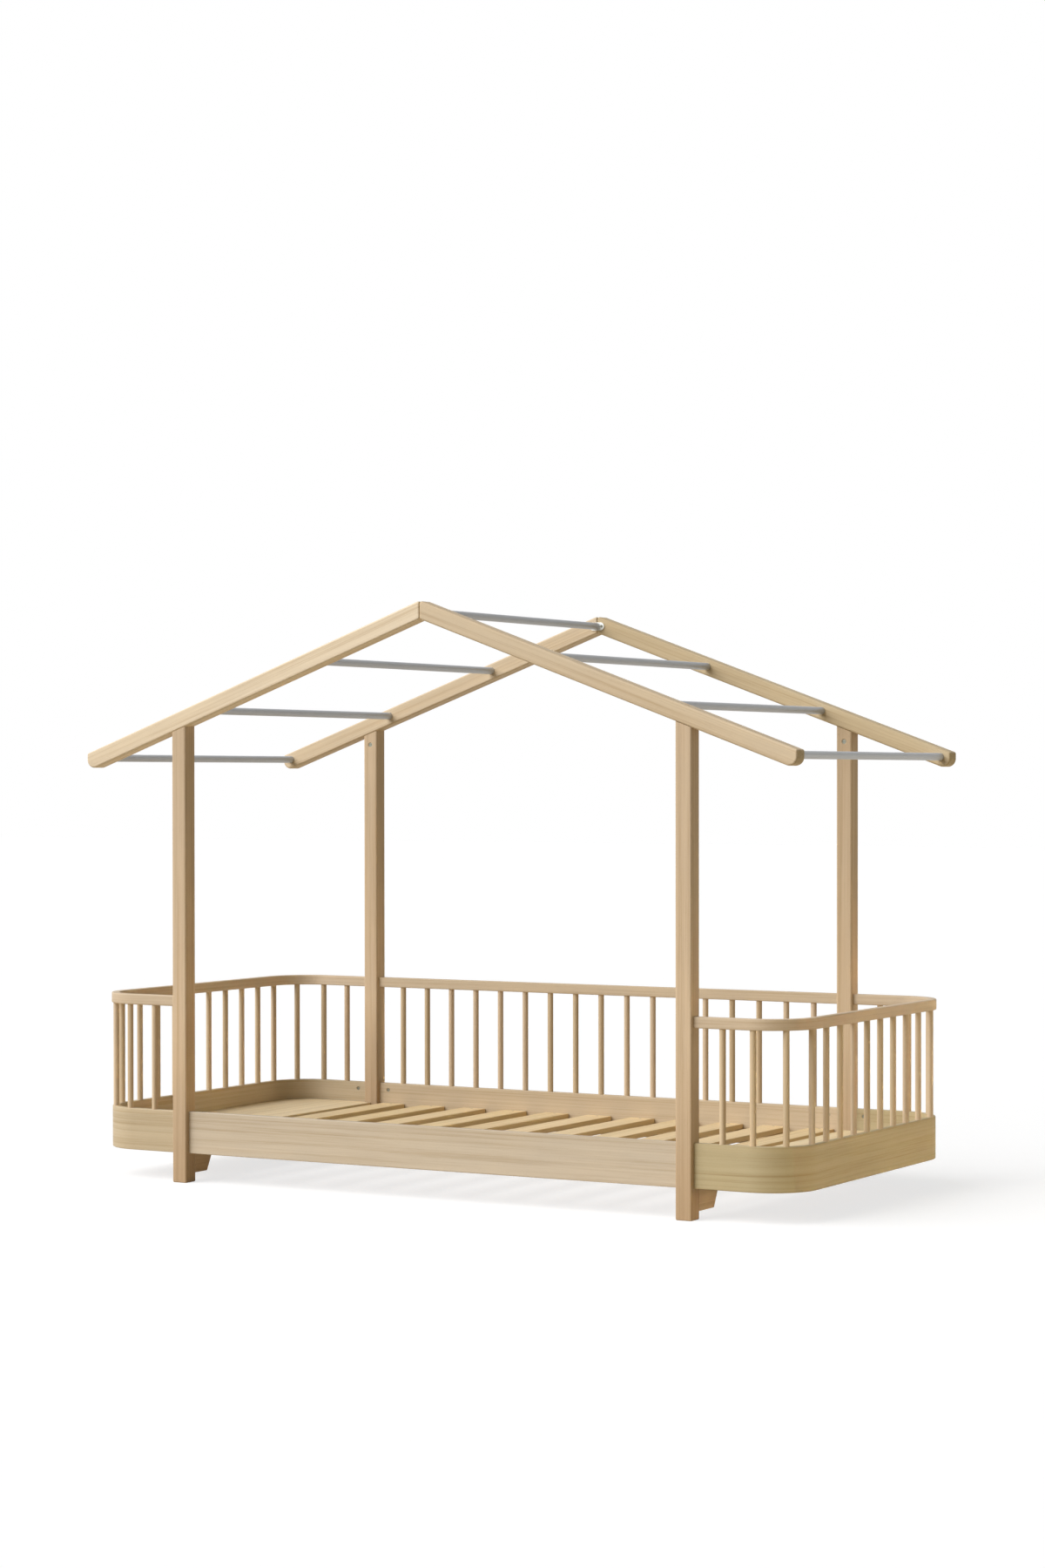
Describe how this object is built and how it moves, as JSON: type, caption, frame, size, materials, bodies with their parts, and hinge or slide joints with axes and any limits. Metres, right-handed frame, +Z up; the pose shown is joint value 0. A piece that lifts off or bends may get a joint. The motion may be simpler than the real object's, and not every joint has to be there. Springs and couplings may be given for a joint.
{
  "type": "house frame bed",
  "caption": "Low slatted child's bed with rounded ends and spindle guard rails, inside a gabled house-shaped frame of square posts and rafters joined by round tubes.",
  "frame": {"origin": "middle of the bed at floor level", "axes": "+X along the bed, +Y from the open entry side to the side with the rear guard rail, +Z up"},
  "size_m": [2.128, 0.994, 1.5344],
  "materials": {
    "pine_frame": "planed solid softwood, clear matt lacquer, straight grain along the piece",
    "pine_rail": "planed solid softwood, clear matt lacquer, grain along the rail",
    "pine_bent_rail": "bent laminated softwood, clear matt lacquer, grain along the rail",
    "pine_spindle": "turned softwood rod, clear matt lacquer, grain along the rod",
    "pine_slat": "planed softwood slat, matt",
    "pine_panel": "glued softwood board, clear matt lacquer",
    "pine_batten": "planed softwood batten, matt",
    "dowel_wood": "smooth hardwood dowel",
    "tube_metal": "round tube, satin grey metal",
    "plate_metal": "pale zinc-plated steel plate",
    "fixing_metal": "zinc-plated steel fixing"
  },
  "bodies": {
    "root": {"bolt_cover_plugs": "dowel_wood", "cross_rail_dowels": "dowel_wood", "cross_rail_left": "pine_batten", "cross_rail_right": "pine_batten", "eave_tube_left": "tube_metal", "eave_tube_right": "tube_metal", "end_base_left": "pine_bent_rail", "end_base_right": "pine_bent_rail", "end_guard_left": "pine_bent_rail", "end_guard_right": "pine_bent_rail", "end_ledges_left": "pine_batten", "end_ledges_right": "pine_batten", "end_panel_left": "pine_panel", "end_panel_right": "pine_panel", "guard_barrel_nuts": "fixing_metal", "guard_rail_rear": "pine_rail", "guard_studs": "fixing_metal", "ledge_screws": "fixing_metal", "lower_tube_left": "tube_metal", "lower_tube_right": "tube_metal", "mitre_dowels": "dowel_wood", "panel_screws": "fixing_metal", "post_barrel_nuts": "fixing_metal", "post_front_left": "pine_frame", "post_front_right": "pine_frame", "post_rear_left": "pine_frame", "post_rear_right": "pine_frame", "rafter_bolts": "fixing_metal", "rafter_front_left": "pine_frame", "rafter_front_right": "pine_frame", "rafter_rear_left": "pine_frame", "rafter_rear_right": "pine_frame", "rail_barrel_nuts": "fixing_metal", "rail_studs": "fixing_metal", "ridge_bolts": "fixing_metal", "ridge_plate_screws": "fixing_metal", "ridge_plates": "plate_metal", "ridge_tube": "tube_metal", "ridge_tube_plugs": "fixing_metal", "side_rail_front": "pine_rail", "side_rail_rear": "pine_rail", "slat_01": "pine_slat", "slat_02": "pine_slat", "slat_03": "pine_slat", "slat_04": "pine_slat", "slat_05": "pine_slat", "slat_06": "pine_slat", "slat_07": "pine_slat", "slat_08": "pine_slat", "slat_09": "pine_slat", "slat_10": "pine_slat", "slat_11": "pine_slat", "slat_ledge_front": "pine_batten", "slat_ledge_rear": "pine_batten", "slat_screws": "fixing_metal", "spindles_left_end": "pine_spindle", "spindles_rear": "pine_spindle", "spindles_right_end": "pine_spindle", "upper_tube_left": "tube_metal", "upper_tube_right": "tube_metal"}
  },
  "joints": []
}
